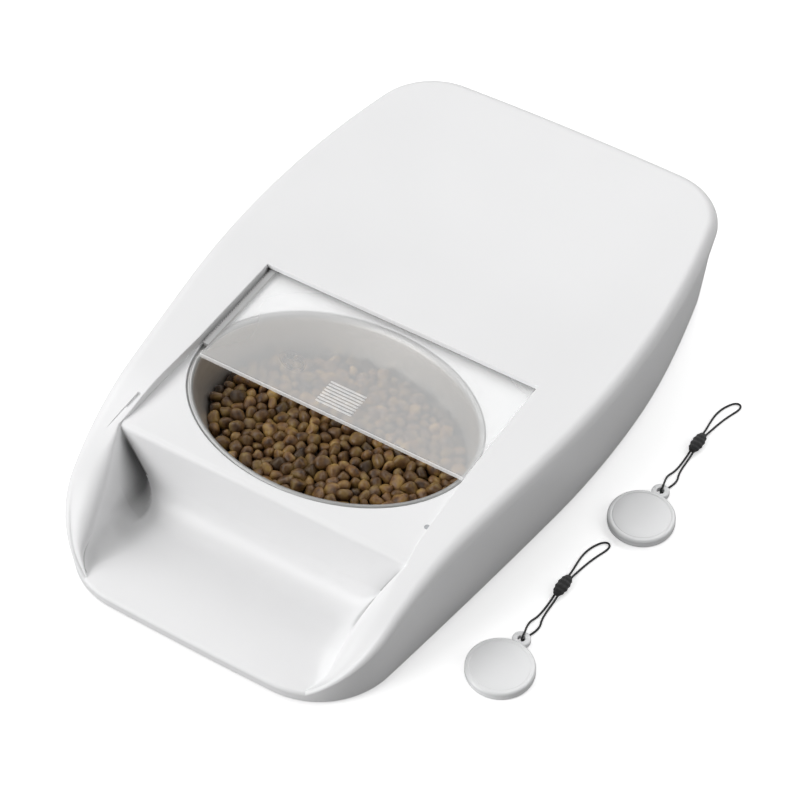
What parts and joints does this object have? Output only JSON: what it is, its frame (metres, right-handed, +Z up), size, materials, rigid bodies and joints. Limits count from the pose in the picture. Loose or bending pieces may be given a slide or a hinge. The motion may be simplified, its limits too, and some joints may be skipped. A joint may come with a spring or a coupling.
{
  "type": "microchip pet feeder",
  "caption": "Low pet feeder with a front scoop, an oval food bowl under a motor-driven sliding lid, rear buttons, a battery door and round collar tags on lanyards that open it.",
  "frame": {"origin": "on the floor, under the middle of the housing", "axes": "+Z up, +Y from the scoop to the rear, +X to the right as the pet stands"},
  "size_m": [0.25, 0.3317, 0.054],
  "materials": {
    "housing_white": "satin white moulded plastic",
    "base_white": "fine spark texture",
    "frame_white": "plain moulded plastic",
    "bowl_steel": "drawn stainless steel, satin",
    "kibble_brown": "baked dry food pellets",
    "lid_frosted": "frosted, lets some light through",
    "rack_grey": "smooth acetal",
    "gear_white": "smooth acetal",
    "steel": "plated steel",
    "board_green": "solder mask",
    "part_black": "moulded epoxy",
    "coil_copper": "enamelled copper wire",
    "lens_clear": "clear light guide",
    "led_white": "clear epoxy over phosphor",
    "button_grey": "fine texture",
    "cell_wrap": "plain coloured wrap",
    "foot_rubber": "soft moulded rubber",
    "tag_shell": "pale translucent plastic",
    "cord_black": "braided polyester cord"
  },
  "bodies": {
    "housing": {"top_housing": "housing_white", "base_plate": "base_white", "inner_frame": "frame_white", "bowl": "bowl_steel", "kibble": "kibble_brown", "gear_pin": "steel", "motor_gearbox": "steel", "motor_can": "steel", "motor_screws": "steel", "main_board": "board_green", "board_parts": "part_black", "antenna_coil": "coil_copper", "status_lens": "lens_clear", "led_board": "board_green", "status_led": "led_white", "button_board": "board_green", "button_switches": "part_black", "battery_cells": "cell_wrap", "battery_springs": "steel", "battery_plates": "steel", "door_hinge_pin": "steel", "limit_switches": "part_black", "rubber_feet": "foot_rubber", "base_screws": "steel", "frame_screws": "steel"},
    "lid": {"lid_panel": "lid_frosted", "lid_rack": "rack_grey"},
    "drive_gear": {"drive_gear": "gear_white"},
    "motor_pinion": {"motor_pinion": "gear_white"},
    "pair_button": {"pair_button": "button_grey"},
    "lid_button": {"lid_button": "button_grey"},
    "battery_door": {"battery_door": "base_white"},
    "tag_1": {"tag_1_front": "tag_shell", "tag_1_back": "tag_shell", "tag_1_coil": "coil_copper", "tag_1_chip": "part_black", "tag_1_cord": "cord_black", "tag_1_knot": "cord_black"},
    "tag_2": {"tag_2_front": "tag_shell", "tag_2_back": "tag_shell", "tag_2_coil": "coil_copper", "tag_2_chip": "part_black", "tag_2_cord": "cord_black", "tag_2_knot": "cord_black"}
  },
  "joints": [
    {"name": "lid_slide", "type": "slide", "parent": "housing", "child": "lid", "axis": [0, 1, 0], "range_m": [-0.0495, 0.0589]},
    {"name": "drive_gear_spin", "type": "hinge", "parent": "housing", "child": "drive_gear", "pos_m": [-0.07865, 0.018, 0.05], "axis": [0, 0, 1], "range_deg": [-390, 460]},
    {"name": "motor_pinion_spin", "type": "hinge", "parent": "housing", "child": "motor_pinion", "pos_m": [-0.08485, 0.02653, 0.05], "axis": [0, 0, 1], "range_deg": [-1140, 960]},
    {"name": "pair_button_press", "type": "slide", "parent": "housing", "child": "pair_button", "axis": [0, -1, 0], "range_m": [0, 0.001], "stiffness_N_per_m": 200, "springref_m": -0.001},
    {"name": "lid_button_press", "type": "slide", "parent": "housing", "child": "lid_button", "axis": [0, -1, 0], "range_m": [0, 0.001], "stiffness_N_per_m": 200, "springref_m": -0.001},
    {"name": "battery_door_hinge", "type": "hinge", "parent": "housing", "child": "battery_door", "pos_m": [0, 0.0812, 0.0028], "axis": [1, 0, 0], "range_deg": [0, 80]},
    {"name": "tag_1_lift", "type": "slide", "parent": "housing", "child": "tag_1", "axis": [0, 0, 1], "range_m": [0, 0.15]},
    {"name": "tag_2_lift", "type": "slide", "parent": "housing", "child": "tag_2", "axis": [0, 0, 1], "range_m": [0, 0.15]}
  ],
  "couplings": [
    {"joint": "drive_gear_spin", "follows": "lid_slide", "rad_per_m": 133.33},
    {"joint": "motor_pinion_spin", "follows": "lid_slide", "rad_per_m": -333.33}
  ]
}
